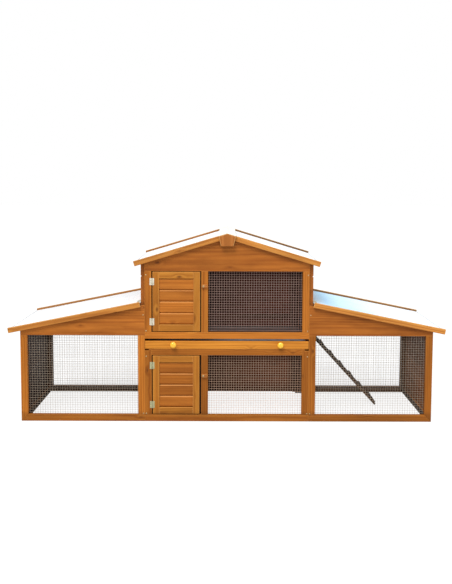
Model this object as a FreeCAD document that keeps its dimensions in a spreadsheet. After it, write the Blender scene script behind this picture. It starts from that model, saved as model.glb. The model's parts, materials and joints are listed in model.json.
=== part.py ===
import FreeCAD, Part
import os
import re
import Sketcher

# Two-tier guinea pig hutch: a two-floor house between two low runs with lift-up roofs.
# X runs along the front, Y into the depth and Z up. The origin is on the ground at the middle.

sizes = {
    # House and runs
    "house_width": 794,
    "run_width": 600,
    "body_depth": 470,
    # Frame timber
    "frame_thickness": 18,
    "post_width": 33,
    "rail_height": 33,
    "top_rail_height": 30,
    "post_notch_width": 20,
    "post_notch_height": 8,
    "corner_post_width": 18,
    "corner_post_depth": 18,
    "side_wall_thickness": 20,
    "board_thickness": 10,
    "board_pitch": 60,
    "board_gap": 0.6,
    "end_rail_thickness": 12,
    # Openings
    "lower_opening_height": 294,
    "upper_opening_height": 296,
    "run_opening_height": 390.5,
    "door_opening_width": 240,
    "gable_side_height": 44,
    "run_gable_side_height": 28,
    # Wire mesh
    "mesh_overlap": 7,
    "mesh_wire": 1.6,
    "mesh_pitch": 30,
    # Doors
    "door_side_gap": 5.5,
    "upper_latch_gap": 5.5,
    "lower_latch_gap": 8.5,
    "door_end_gap": 3,
    "door_stile_width": 32,
    "door_rail_height": 33,
    "door_board_thickness": 8,
    "door_board_recess": 5,
    "door_stop_seat": 7,
    "door_stop_overlap": 6,
    "door_stop_thickness": 8,
    # Hinges
    "hinge_height": 34,
    "hinge_leaf_width": 11,
    "hinge_inset": 47.5,
    "leaf_thickness": 1.2,
    "barrel_radius": 2.6,
    "pin_radius": 1.3,
    "running_clearance": 0.08,
    "seat_gap": 0.3,
    "knuckle_gap": 0.4,
    "wide_hinge_height": 60,
    "wide_leaf_width": 24,
    "lid_hinge_spread": 300,
    # Turn buttons
    "button_width": 18,
    "button_long_arm": 21,
    "button_short_arm": 9,
    "button_thickness": 8,
    "button_inset": 10.5,
    "upper_button_height": 224,
    "lower_button_height": 194,
    "pivot_radius": 2,
    "pivot_head_radius": 5,
    "pivot_head_height": 2,
    # Pull-out tray
    "tray_front_height": 37.5,
    "tray_clearance": 1,
    "tray_top_gap": 11.5,
    "tray_side_gap": 1.5,
    "runner_rise": 4,
    "runner_height": 23,
    "pan_wall": 1.2,
    "pan_height": 12,
    "pan_side_gap": 2,
    "pan_back_gap": 3,
    "knob_spacing": 516,
    "knob_height": 22,
    "knob_radius": 15,
    "knob_half_height": 7,
    "knob_neck_radius": 8,
    "knob_neck_length": 15,
    # Roofs
    "main_pitch": 16.8,
    "run_pitch": 11.4,
    "main_eave_overhang": 47,
    "run_eave_overhang": 53.5,
    "deck_thickness": 7,
    "felt_thickness": 2,
    "barge_lip": 10,
    "barge_height": 25,
    "barge_thickness": 12,
    "barge_clearance": 3,
    "lid_wall_gap": 3.5,
    "lid_barge_reach": 4,
    "ridge_cap_width": 84,
    "ridge_cap_thickness": 3,
    "ridge_batten_width": 26,
    "ridge_batten_inset": 8,
    "keystone_bottom_width": 60,
    "keystone_drop": 49,
    "keystone_thickness": 12,
    # Ramp and its doorway
    "ramp_angle": 47.5,
    "ramp_width": 160,
    "ramp_start": 6,
    "ramp_thickness": 10,
    "ramp_top_gap": 4,
    "ramp_reach": 8,
    "cleat_pitch": 78,
    "cleat_first": 44,
    "cleat_width": 10,
    "cleat_height": 6,
    "doorway_margin": 5,
    "doorway_drop": 9,
    "doorway_height": 145,
    # Frame screws
    "screw_head_radius": 3.5,
    "screw_head_height": 1.8,
    "screw_inset": 7,
    "screw_gable_drop": 18,
    "screw_rail_rise": 6,
    "run_screw_rise": 100,
}

doc = FreeCAD.newDocument("guinea_pig_hutch")
sheet = doc.addObject("Spreadsheet::Sheet", "sizes")
for row, (size_name, size_value) in enumerate(sizes.items(), start=1):
    sheet.set(f"A{row}", size_name)
    sheet.set(f"B{row}", str(size_value))
    sheet.setAlias(f"B{row}", size_name)
doc.recompute()
nodes = []

# Places that several pieces share, as formulas on the sheet
front = "(-body_depth / 2)"
back = "(body_depth / 2)"
inner_front = "(frame_thickness - body_depth / 2)"
inner_back = "(body_depth / 2 - frame_thickness)"
inner_depth = "(body_depth - 2 * frame_thickness)"
half_house = "(house_width / 2)"
run_end = "(house_width / 2 + run_width)"
wall_face = "(house_width / 2 + side_wall_thickness)"
lower_top = "(rail_height + lower_opening_height)"
tray_bottom = f"({lower_top} + top_rail_height + tray_clearance)"
tray_top = f"({tray_bottom} + tray_front_height)"
upper_bottom = f"({tray_top} + tray_top_gap)"
upper_sill = f"({upper_bottom} + rail_height)"
gable_bottom = f"({upper_sill} + upper_opening_height)"
eave_line = f"({gable_bottom} + gable_side_height)"
ridge_line = f"({eave_line} + {half_house} * tan(main_pitch))"
wall_top = f"({eave_line} - side_wall_thickness * tan(main_pitch))"
run_top = "(rail_height + run_opening_height)"
run_eave = f"({run_top} + run_gable_side_height)"
door_left = f"(post_width - {half_house})"
mullion_left = f"({door_left} + door_opening_width)"
window_left = f"({mullion_left} + post_width)"
window_right = f"({half_house} - post_width)"
runner_top = f"({tray_bottom} + runner_rise)"
felt_top = "(deck_thickness + felt_thickness)"
roof_stack = "(deck_thickness + felt_thickness + barge_lip)"
barge_inner = "(body_depth / 2 + barge_clearance)"
barge_outer = "(body_depth / 2 + barge_clearance + barge_thickness)"
axis_rise = "(barrel_radius + seat_gap)"


def in_sheet_terms(formula):
    return re.sub(r"[a-z_]+", lambda word: "sizes." + word[0] if word[0] in sizes else word[0], formula)


def bind(item, prop, formula):
    item.setExpression(prop, in_sheet_terms(formula))


def number(formula):
    return float(sheet.evalExpression(in_sheet_terms(formula)))


def put(item, spot):
    for axis, formula in zip("xyz", spot):
        bind(item, "Placement.Base." + axis, formula)


def turn(item, axis, angle):
    item.Placement = FreeCAD.Placement(FreeCAD.Vector(), FreeCAD.Rotation(FreeCAD.Vector(*axis), angle))


def box(name, corner, extent):
    made = doc.addObject("Part::Box", name)
    for prop, formula in zip(("Length", "Width", "Height"), extent):
        bind(made, prop, formula)
    put(made, corner)
    return made


def rod(name, spot, radius, length):
    # A cylinder along Y.
    made = doc.addObject("Part::Cylinder", name)
    turn(made, (1, 0, 0), -90)
    bind(made, "Radius", radius)
    bind(made, "Height", length)
    put(made, spot)
    return made


def fuse(name, pieces):
    made = doc.addObject("Part::MultiFuse", name)
    made.Shapes = pieces
    return made


def cut(name, base, tool):
    made = doc.addObject("Part::Cut", name)
    made.Base = base
    made.Tool = tool
    return made


def bundle(name, pieces):
    made = doc.addObject("Part::Compound", name)
    made.Links = pieces
    return made


def node(label, pieces):
    made = bundle(label, pieces)
    made.Label = label
    nodes.append(made)
    return made


def mirrored(sign, start, extent):
    # The low corner of a span that starts that far to the right, or to the left for a negative sign.
    return start if sign > 0 else f"-({start}) - ({extent})"


def both_sides(name, start, y, z, extent):
    return [box(name, (mirrored(sign, start, extent[0]), y, z), extent) for sign in (1, -1)]


def tilted(name, pieces, sign, pitch, spot):
    # Pieces made flat, with their slope along X, turned down by the pitch about the spot.
    made = bundle(name, pieces)
    turn(made, (0, sign, 0), 1)
    bind(made, "Placement.Rotation.Angle", pitch)
    put(made, spot)
    return made


def plate(name, points, thickness, y_back):
    # A straight-sided board seen from the front, padded forward from its back face.
    body = doc.addObject("PartDesign::Body", name)
    sketch = body.newObject("Sketcher::SketchObject", name + "_outline")
    plane = [part for part in body.Origin.OriginFeatures if part.Role == "XZ_Plane"][0]
    sketch.AttachmentSupport = [(plane, "")]
    sketch.MapMode = "FlatFace"
    corners = [FreeCAD.Vector(number(x), number(z), 0) for x, z in points]
    count = len(corners)
    for index, corner in enumerate(corners):
        sketch.addGeometry(Part.LineSegment(corner, corners[(index + 1) % count]), False)
    for index in range(count):
        sketch.addConstraint(Sketcher.Constraint("Coincident", index, 2, (index + 1) % count, 1))
    for index, formulas in enumerate(points):
        for kind, formula in zip(("DistanceX", "DistanceY"), formulas):
            place = sketch.addConstraint(Sketcher.Constraint(kind, -1, 1, index, 1, number(formula)))
            sketch.setExpression(f"Constraints[{place}]", in_sheet_terms(formula))
    pad = body.newObject("PartDesign::Pad", name + "_pad")
    pad.Profile = sketch
    bind(pad, "Length", thickness)
    bind(body, "Placement.Base.y", y_back)
    return body


def rectangle(start_x, end_x, low_z, high_z):
    # The way round follows the X order, so a gap given from right to left is a hole.
    ring = ((start_x, low_z), (end_x, low_z), (end_x, high_z), (start_x, high_z), (start_x, low_z))
    return Part.makePolygon([FreeCAD.Vector(x, 0, z) for x, z in ring])


def net(label, spans, y):
    # Flat wire mesh as one holed sheet for each span, stapled behind its frame.
    wire = number("mesh_wire")
    sheets = []
    for low_x, high_x, low_z, high_z in spans:
        left, right = number(f"{low_x} - mesh_overlap"), number(f"{high_x} + mesh_overlap")
        low, high = number(f"{low_z} - mesh_overlap"), number(f"{high_z} + mesh_overlap")
        columns = round((right - left) / number("mesh_pitch"))
        rows = round((high - low) / number("mesh_pitch"))
        step_x, step_z = (right - left - wire) / columns, (high - low - wire) / rows

        rim = rectangle(left, right, low, high)
        gaps = [rectangle(left + (column + 1) * step_x, left + wire + column * step_x,
                          low + wire + line * step_z, low + (line + 1) * step_z)
                for column in range(columns) for line in range(rows)]
        sheets.append(Part.Face([rim] + gaps).extrude(FreeCAD.Vector(0, wire, 0)))
    made = doc.addObject("Part::Feature", label)
    made.Label = label
    made.Shape = Part.Compound(sheets)
    made.Placement = FreeCAD.Placement(FreeCAD.Vector(0, number(y), 0), FreeCAD.Rotation())
    nodes.append(made)


def boarding(name, corner, extent):
    # Level boards, one above the other, filling the height.
    count = max(1, round(number(extent[2]) / number("board_pitch")))
    step = f"({extent[2]}) / {count}"
    return [box(name, (corner[0], corner[1], f"({corner[2]}) + {index} * {step} + board_gap / 2"),
                (extent[0], extent[1], f"{step} - board_gap")) for index in range(count)]


def hinge_leaf(name, side, slots, height, width):
    # Half a butt hinge about the Y axis, lying on a surface one axis rise below its pin.
    # The plate keeps clear of the barrel, and a tab in each slot joins it to its own knuckle.
    low = f"-{axis_rise}"
    plate_width = f"{width} - {axis_rise}"
    pieces = [box(name + "_plate", (mirrored(side, axis_rise, plate_width), f"-{height} / 2", low),
                  (plate_width, height, "leaf_thickness"))]
    knuckle = f"({height} / 3 - knuckle_gap)"
    for slot in slots:
        start = f"{height} * ({slot} / 3 - 1 / 2) + knuckle_gap / 2"
        pieces.append(box(name + "_tab", (mirrored(side, "0", axis_rise), start, low),
                          (axis_rise, knuckle, "leaf_thickness")))
        pieces.append(rod(name + "_knuckle", ("0", start, "0"), "barrel_radius", knuckle))
    bore = rod(name + "_bore", ("0", f"-{height}", "0"), "pin_radius + running_clearance", f"2 * {height}")
    return cut(name, fuse(name + "_blank", pieces), bore)


outer_slots = (0, 2)
middle_slot = (1,)
fixed_leaves = []
hinge_pins = []


def hinge_pin(name, height):
    return rod(name, ("0", f"-{height} / 2", "0"), "pin_radius", height)


def door_stops(name, opening_low, opening_height, latch_gap):
    # Battens behind the frame, round the door opening, that the closed door rests against.
    left, right = f"({door_left} - door_stop_seat)", f"({mullion_left} + door_stop_seat)"
    low, high = f"({opening_low} - door_stop_seat)", f"({opening_low} + {opening_height} + door_stop_seat)"
    hinge_side = "(door_stop_seat + door_side_gap + door_stop_overlap)"
    latch_side = f"(door_stop_seat + {latch_gap} + door_stop_overlap)"
    end_height = "(door_stop_seat + door_end_gap + door_stop_overlap)"
    y = f"({inner_front} + seat_gap)"
    between = f"{right} - {left} - {hinge_side} - {latch_side}"
    return [box(name, (x, y, low), (width, "door_stop_thickness", f"{high} - {low}"))
            for x, width in ((left, hinge_side), (f"{right} - {latch_side}", latch_side))] + [
            box(name, (f"{left} + {hinge_side}", y, z), (between, "door_stop_thickness", end_height))
            for z in (low, f"{high} - {end_height}")]


# House front, lower tier, with a notch in the outer top corner of each end post
lower_post_top = f"({lower_top} + top_rail_height)"
notch_x = f"({half_house} - post_notch_width)"
notch_z = f"({lower_post_top} - post_notch_height)"
lower_post = (
    (window_right, "rail_height"),
    (half_house, "rail_height"),
    (half_house, notch_z),
    (notch_x, notch_z),
    (notch_x, lower_post_top),
    (window_right, lower_post_top),
)
node("lower_front_rails", [
    box("lower_sole_rail", (f"-{half_house}", front, "0"), ("house_width", "frame_thickness", "rail_height")),
    box("lower_top_rail", (door_left, front, lower_top),
        ("house_width - 2 * post_width", "frame_thickness", "top_rail_height")),
])
node("lower_front_posts", [
    plate("lower_front_post", [(minus + x, z) for x, z in lower_post], "frame_thickness", inner_front)
    for minus in ("", "-")] + [
    box("lower_mullion", (mullion_left, front, "rail_height"),
        ("post_width", "frame_thickness", "lower_opening_height")),
] + door_stops("lower_door_stop", "rail_height", "lower_opening_height", "lower_latch_gap"))
net("lower_window_mesh", [(window_left, window_right, "rail_height", lower_top)], inner_front)

# House front, upper tier
upper_post = ("post_width", "frame_thickness", "upper_opening_height")
node("upper_front_rail", [
    box("upper_sill_rail", (f"-{half_house}", front, upper_bottom),
        ("house_width", "frame_thickness", "rail_height")),
])
node("upper_front_posts", both_sides("upper_front_post", window_right, front, upper_sill, upper_post) + [
    box("upper_mullion", (mullion_left, front, upper_sill), upper_post),
] + door_stops("upper_door_stop", upper_sill, "upper_opening_height", "upper_latch_gap"))
net("upper_window_mesh", [(window_left, window_right, upper_sill, gable_bottom)], inner_front)
gable_points = (
    (f"-{half_house}", gable_bottom),
    (half_house, gable_bottom),
    (half_house, eave_line),
    ("0", ridge_line),
    (f"-{half_house}", eave_line),
)
for label, y_back in (("front_gable_board", inner_front), ("back_gable_board", back)):
    node(label, [plate(label + "_pentagon", gable_points, "frame_thickness", y_back)])

# House sides: solid upper walls, with the ramp doorway in the right one
wall_size = ("side_wall_thickness", inner_depth, f"{wall_top} - {lower_top}")
doorway_sill = f"({upper_bottom} - doorway_drop)"
for sign, label in ((-1, "left_side_wall"), (1, "right_side_wall")):
    wall_x = mirrored(sign, half_house, "side_wall_thickness")
    wall = box(label + "_panel", (wall_x, inner_front, lower_top), wall_size)
    if sign > 0:
        doorway = box("ramp_doorway", (f"{half_house} - side_wall_thickness", "ramp_start - doorway_margin",
                                       doorway_sill),
                      ("3 * side_wall_thickness", "ramp_width + 2 * doorway_margin", "doorway_height"))
        wall = cut("doorway_wall", wall, doorway)
    node(label, [wall])
post_x = f"({half_house} - corner_post_width)"
corner_posts = []
for y in (inner_front, f"({inner_back} - corner_post_depth)"):
    for low, high in (("0", f"({runner_top} - runner_height)"), (upper_bottom, wall_top)):
        corner_posts += both_sides("corner_post", post_x, y, low,
                                   ("corner_post_width", "corner_post_depth", f"{high} - {low}"))
    # Legs under the side walls
    corner_posts += both_sides("wall_leg", half_house, y, "0",
                               ("side_wall_thickness", "corner_post_depth", lower_top))
node("corner_posts", corner_posts)

# House back
stile = ("post_width", "frame_thickness", gable_bottom)
panel_width = "house_width - 2 * post_width"
node("back_frame", both_sides("back_stile", window_right, inner_back, "0", stile) + [
    box("back_mid_rail", (door_left, inner_back, upper_bottom),
        (panel_width, "frame_thickness - board_thickness", "rail_height")),
])
node("back_boards", boarding("back_board", (door_left, f"{back} - board_thickness", "0"),
                             (panel_width, "board_thickness", gable_bottom)))

# Pull-out tray on its two runners
node("tray_runners", both_sides("tray_runner", post_x, inner_front, f"{runner_top} - runner_height",
                                ("corner_post_width", inner_depth, "runner_height")))
tray_width = "(house_width - 2 * tray_side_gap)"
node("tray_front_board", [
    box("tray_board", (f"-{tray_width} / 2", front, tray_bottom),
        (tray_width, "frame_thickness", "tray_front_height")),
])
pan_width = "(house_width - 2 * pan_side_gap)"
pan_depth = f"({inner_depth} - pan_back_gap)"
pan_low = f"({runner_top} + seat_gap)"
pan_inside = box("pan_inside",
                 (f"pan_wall - {pan_width} / 2", f"{inner_front} + pan_wall", f"{pan_low} + pan_wall"),
                 (f"{pan_width} - 2 * pan_wall", f"{pan_depth} - 2 * pan_wall", "pan_height"))
pan_outside = box("pan_outside", (f"-{pan_width} / 2", inner_front, pan_low),
                  (pan_width, pan_depth, "pan_height - seat_gap"))
node("tray_pan", [cut("pan_shell", pan_outside, pan_inside)])
knobs = []
for sign in ("", "-"):
    neck = rod("knob_neck", ("0", "-knob_neck_length", "0"), "knob_neck_radius", "knob_neck_length")
    head = doc.addObject("Part::Ellipsoid", "knob_head")
    turn(head, (1, 0, 0), 90)
    bind(head, "Radius1", "knob_half_height")
    bind(head, "Radius2", "knob_radius")
    bind(head, "Radius3", "knob_radius")
    bind(head, "Placement.Base.y", "-knob_neck_length")
    knob = fuse("tray_knob", [neck, head])
    put(knob, (f"{sign}knob_spacing / 2", front, f"{tray_bottom} + knob_height"))
    knobs.append(knob)
node("tray_knobs", knobs)

# Boarded doors on butt hinges, each with a turn button on the mullion
hinge_x = f"({door_left} + door_side_gap / 2)"
hinge_y = f"({front} - {axis_rise})"
button_screws = []
tiers = (
    ("upper", upper_sill, "upper_opening_height", "upper_button_height", "upper_latch_gap"),
    ("lower", "rail_height", "lower_opening_height", "lower_button_height", "lower_latch_gap"),
)
for tier, opening_low, opening_height, button_rise, latch_gap in tiers:
    door_width = f"(door_opening_width - door_side_gap - {latch_gap})"
    low = f"({opening_low} + door_end_gap)"
    height = f"({opening_height} - 2 * door_end_gap)"
    left = f"({door_left} + door_side_gap)"
    right_stile = f"({left} + {door_width} - door_stile_width)"
    panel = f"({door_width} - 2 * door_stile_width)"
    stiles = [box("door_stile", (x, front, low), ("door_stile_width", "frame_thickness", height))
              for x in (left, right_stile)]
    panel_left = f"({left} + door_stile_width)"
    rails = [box("door_rail", (panel_left, front, z), (panel, "frame_thickness", "door_rail_height"))
             for z in (low, f"{low} + {height} - door_rail_height")]
    node(f"{tier}_door_frame", stiles + rails)
    node(f"{tier}_door_boards", boarding(
        "door_board", (panel_left, f"{front} + door_board_recess", f"{low} + door_rail_height"),
        (panel, "door_board_thickness", f"{height} - 2 * door_rail_height")))
    door_leaves = []
    for z in (f"{low} + hinge_inset", f"{low} + {height} - hinge_inset"):
        spot = (hinge_x, hinge_y, z)
        frame_leaf = hinge_leaf("door_frame_leaf", -1, outer_slots, "hinge_height", "hinge_leaf_width")
        door_leaf = hinge_leaf("door_leaf", 1, middle_slot, "hinge_height", "hinge_leaf_width")
        pin = bundle("door_hinge_pin", [hinge_pin("door_pin", "hinge_height")])
        for item in (frame_leaf, door_leaf, pin):
            turn(item, (1, 0, 0), 90)
            put(item, spot)
        fixed_leaves.append(frame_leaf)
        door_leaves.append(door_leaf)
        hinge_pins.append(pin)
    node(f"{tier}_door_hinge_leaves", door_leaves)
    pivot_x = f"({mullion_left} + button_inset)"
    pivot_z = f"({opening_low} + {button_rise})"
    blank = box("button_blank", (f"{pivot_x} - button_short_arm", f"{front} - seat_gap - button_thickness",
                                 f"{pivot_z} - button_width / 2"),
                ("button_long_arm + button_short_arm", "button_thickness", "button_width"))
    reach = "(button_thickness + 2 * seat_gap)"
    bore = rod("button_bore", (pivot_x, f"{front} - 2 * {reach}", pivot_z),
               "pivot_radius + running_clearance", f"2 * {reach}")
    node(f"{tier}_turn_button", [cut("button", blank, bore)])
    shank = rod("pivot_shank", (pivot_x, f"{front} - {reach}", pivot_z), "pivot_radius", reach)
    head = rod("pivot_head", (pivot_x, f"{front} - {reach} - pivot_head_height", pivot_z),
               "pivot_head_radius", "pivot_head_height")
    button_screws.append(fuse("button_screw", [shank, head]))
node("turn_button_screws", button_screws)


def roof_boards(name, sign, start, length, pitch, spot):
    # The barge boards stand at the front and back edge and rise past the roofing as a lip.
    low = f"({roof_stack} - barge_height)"
    x = mirrored(sign, start, length)
    boards = [box(name, (x, y, low), (length, "barge_thickness", "barge_height"))
              for y in (f"-{barge_outer}", barge_inner)]
    return tilted(name + "_pair", boards, sign, pitch, spot)


def roof_sheet(name, sign, length, low, thickness, pitch, spot):
    sheet_box = box(name, (mirrored(sign, "0", length), f"-{barge_inner}", low),
                    (length, f"2 * {barge_inner}", thickness))
    return tilted(name + "_slope", [sheet_box], sign, pitch, spot)


# Main roof
slope = f"(({half_house} + main_eave_overhang) / cos(main_pitch))"
ridge_spot = ("0", "0", ridge_line)
main_roof = {"main_roof_decks": [], "main_roof_felts": [], "main_barge_boards": [], "ridge_battens": []}
for sign in (-1, 1):
    miter = "((barge_height - deck_thickness - felt_thickness - barge_lip) * tan(main_pitch))"
    main_roof["main_roof_decks"].append(
        roof_sheet("main_deck", sign, slope, "0", "deck_thickness", "main_pitch", ridge_spot))
    main_roof["main_roof_felts"].append(
        roof_sheet("main_felt", sign, slope, "deck_thickness", "felt_thickness", "main_pitch", ridge_spot))
    main_roof["main_barge_boards"].append(
        roof_boards("main_barge", sign, miter, f"{slope} - {miter}", "main_pitch", ridge_spot))
    batten_x = mirrored(sign, "ridge_batten_inset", "ridge_batten_width")
    batten = box("ridge_batten", (batten_x, f"-{barge_inner}", felt_top),
                 ("ridge_batten_width", f"2 * {barge_inner}", "barge_lip"))
    main_roof["ridge_battens"].append(tilted("ridge_batten_slope", [batten], sign, "main_pitch", ridge_spot))
for label, pieces in main_roof.items():
    node(label, pieces)
cap_half = "(ridge_cap_width / 2)"
cap_low = f"({ridge_line} + {roof_stack} / cos(main_pitch))"
cap_high = f"({cap_low} + ridge_cap_thickness / cos(main_pitch))"
cap_fall = f"({cap_half} * tan(main_pitch))"
keystone_outer = f"({barge_outer} + keystone_thickness)"
node("ridge_cap", [plate("ridge_cap_fold", (
    (f"-{cap_half}", f"{cap_low} - {cap_fall}"),
    ("0", cap_low),
    (cap_half, f"{cap_low} - {cap_fall}"),
    (cap_half, f"{cap_high} - {cap_fall}"),
    ("0", cap_high),
    (f"-{cap_half}", f"{cap_high} - {cap_fall}"),
), f"2 * {keystone_outer}", keystone_outer)])
keystone_points = (
    ("-keystone_bottom_width / 2", f"{cap_low} - {cap_fall} - keystone_drop"),
    ("keystone_bottom_width / 2", f"{cap_low} - {cap_fall} - keystone_drop"),
    (cap_half, f"{cap_low} - {cap_fall}"),
    ("0", cap_low),
    (f"-{cap_half}", f"{cap_low} - {cap_fall}"),
)
node("keystone_plates", [plate("keystone", keystone_points, "keystone_thickness", y_back)
                         for y_back in (f"-{barge_outer}", keystone_outer)])

# Runs: mesh front and back, boarded end, and a roof that lifts on hinges at the house wall
lid_x = f"({wall_face} + lid_wall_gap)"
lid_z = f"({run_eave} + ({run_end} - {lid_x}) * tan(run_pitch) + seat_gap)"
lid_length = f"(({run_end} + run_eave_overhang - {lid_x}) / cos(run_pitch))"
lid_axis_x = f"({wall_face} + {axis_rise})"
lid_axis_rise = f"({felt_top} + {axis_rise})"
lid_axis_along = f"(({lid_axis_x} - {lid_x} - {lid_axis_rise} * sin(run_pitch)) / cos(run_pitch))"
lid_axis_z = f"({lid_z} - {lid_axis_along} * sin(run_pitch) + {lid_axis_rise} * cos(run_pitch))"
outer_x = f"({run_end} - post_width)"
sole_rail = ((half_house, "0"), (run_end, "0"), (outer_x, "rail_height"), (half_house, "rail_height"))
outer_post = ((run_end, "0"), (run_end, run_top), (outer_x, run_top), (outer_x, "rail_height"))
for sign, side in ((-1, "left"), (1, "right")):
    minus = "" if sign > 0 else "-"
    # The sole rails and outer posts meet in a mitre.
    node(f"{side}_run_sole_rails", [
        plate("run_sole_rail", [(minus + x, z) for x, z in sole_rail], "frame_thickness", y_back)
        for y_back in (inner_front, back)])
    inner_post_x = mirrored(sign, half_house, "post_width")
    outer_corners = [(minus + x, z) for x, z in outer_post]
    run_posts = []
    for y_back in (inner_front, back):
        run_posts.append(box("run_post", (inner_post_x, f"{y_back} - frame_thickness", "rail_height"),
                             ("post_width", "frame_thickness", "run_opening_height")))
        run_posts.append(plate("run_outer_post", outer_corners, "frame_thickness", y_back))
    node(f"{side}_run_posts", run_posts)
    run_gable = (
        (f"{minus}{half_house}", run_top),
        (f"{minus}{run_end}", run_top),
        (f"{minus}{run_end}", run_eave),
        (f"{minus}{half_house}", f"{run_eave} + run_width * tan(run_pitch)"),
    )
    node(f"{side}_run_gable_boards", [
        plate("run_gable", run_gable, "frame_thickness", y_back) for y_back in (inner_front, back)])
    inner_x = f"({half_house} + post_width)"
    opening = (inner_x, outer_x) if sign > 0 else (f"-{outer_x}", f"-{inner_x}")
    for face, y in (("front", inner_front), ("back", f"{inner_back} - mesh_wire")):
        net(f"{side}_run_{face}_mesh", [opening + ("rail_height", run_top)], y)
    board_x = f"({run_end} - board_thickness)"
    node(f"{side}_end_boards", boarding(
        "end_board", (mirrored(sign, board_x, "board_thickness"), inner_front, "0"),
        ("board_thickness", inner_depth, run_eave)))
    rail_x = mirrored(sign, f"{board_x} - end_rail_thickness", "end_rail_thickness")
    node(f"{side}_end_rails", [
        box("end_rail", (rail_x, inner_front, z), ("end_rail_thickness", inner_depth, "rail_height"))
        for z in ("0", f"{run_eave} - rail_height")])
    lid_spot = (minus + lid_x, "0", lid_z)
    node(f"{side}_lid_deck", [
        roof_sheet("lid_deck", sign, lid_length, "0", "deck_thickness", "run_pitch", lid_spot)])
    node(f"{side}_lid_felt", [
        roof_sheet("lid_felt", sign, lid_length, "deck_thickness", "felt_thickness", "run_pitch", lid_spot)])
    barge_length = f"({lid_length} + lid_barge_reach)"
    node(f"{side}_lid_barges", [
        roof_boards("lid_barge", sign, "-lid_barge_reach", barge_length, "run_pitch", lid_spot)])
    lid_leaves = []
    for y in ("-lid_hinge_spread / 2", "lid_hinge_spread / 2"):
        spot = (minus + lid_axis_x, y, lid_axis_z)
        wall_leaf = hinge_leaf("lid_wall_leaf", -sign, outer_slots, "wide_hinge_height", "wide_leaf_width")
        turn(wall_leaf, (0, sign, 0), 90)
        put(wall_leaf, spot)
        fixed_leaves.append(wall_leaf)
        lid_leaf = hinge_leaf("lid_leaf", sign, middle_slot, "wide_hinge_height", "wide_leaf_width")
        lid_leaves.append(tilted("lid_leaf_slope", [lid_leaf], sign, "run_pitch", spot))
        pin = bundle("lid_hinge_pin", [hinge_pin("lid_pin", "wide_hinge_height")])
        put(pin, spot)
        hinge_pins.append(pin)
    node(f"{side}_lid_hinge_leaves", lid_leaves)

# Ramp in the right run, hinged on the doorway sill and standing on the ground
ramp_x = f"({wall_face} + ramp_reach)"
ramp_z = f"({doorway_sill} + {axis_rise})"
ramp_low = f"(-{axis_rise} - ramp_thickness)"
ramp_length = f"(({ramp_z} + {ramp_low} * cos(ramp_angle) - seat_gap) / sin(ramp_angle) - ramp_top_gap)"
ramp_spot = (ramp_x, "0", ramp_z)
ramp_board = box("ramp_plank", ("ramp_top_gap", "ramp_start", ramp_low),
                 (ramp_length, "ramp_width", "ramp_thickness"))
node("ramp_board", [tilted("ramp_slope", [ramp_board], 1, "ramp_angle", ramp_spot)])
cleat_count = int((number(ramp_length) - number("cleat_first")) // number("cleat_pitch")) + 1
cleats = [box("ramp_cleat", (f"cleat_first + {index} * cleat_pitch", "ramp_start", f"-{axis_rise}"),
              ("cleat_width", "ramp_width", "cleat_height")) for index in range(cleat_count)]
node("ramp_cleats", [tilted("cleat_slope", cleats, 1, "ramp_angle", ramp_spot)])
ramp_leaves = []
for share in (1, 3):
    spot = (ramp_x, f"ramp_start + ramp_width * {share} / 4", ramp_z)
    sill_leaf = hinge_leaf("sill_leaf", -1, outer_slots, "wide_hinge_height", "wide_leaf_width")
    put(sill_leaf, spot)
    fixed_leaves.append(sill_leaf)
    ramp_leaf = hinge_leaf("ramp_leaf", 1, middle_slot, "wide_hinge_height", "wide_leaf_width")
    ramp_leaves.append(tilted("ramp_leaf_slope", [ramp_leaf], 1, "ramp_angle", spot))
    pin = bundle("ramp_hinge_pin", [hinge_pin("ramp_pin", "wide_hinge_height")])
    put(pin, spot)
    hinge_pins.append(pin)
node("ramp_hinge_leaves", ramp_leaves)
node("hinge_frame_leaves", fixed_leaves)
node("hinge_pins", hinge_pins)

# Screws that hold the front frames to the house corners
house_screw = f"({half_house} - screw_inset)"
run_screw = f"({half_house} + screw_inset)"
screw_spots = (
    (house_screw, f"{gable_bottom} - screw_gable_drop"),
    (house_screw, f"{upper_sill} + screw_rail_rise"),
    (house_screw, f"{lower_top} - screw_rail_rise"),
    (house_screw, "rail_height + screw_rail_rise"),
    (run_screw, "rail_height + screw_rail_rise"),
    (run_screw, f"{run_top} + run_screw_rise"),
)
screw_y = f"({front} - screw_head_height)"
node("frame_screws", [
    rod("frame_screw", (minus + x, screw_y, z), "screw_head_radius", "screw_head_height")
    for x, z in screw_spots for minus in ("", "-")])

doc.recompute()
failed = [item.Label for item in doc.Objects if {"Invalid", "Error"} & set(item.State)]
failed += [item.Label for item in nodes if item.Shape.isNull() or not item.Shape.isValid()]
if failed:
    raise SystemExit("not built: " + ", ".join(failed))
os.makedirs("parts", exist_ok=True)
for item in nodes:
    item.Shape.exportStep(f"parts/{item.Label}.step")
print(len(nodes), "sub-parts,", sum(len(item.Shape.Solids) for item in nodes), "solids")
print("lid axis", number(lid_axis_x), number(lid_axis_z), "ramp axis", number(ramp_x), number(ramp_z))
print("door axis", number(hinge_x), number(hinge_y), "button x", number(f"{mullion_left} + button_inset"))
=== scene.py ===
import json
import math
import random

import bmesh
import bpy
from mathutils import Matrix, Vector


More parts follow.
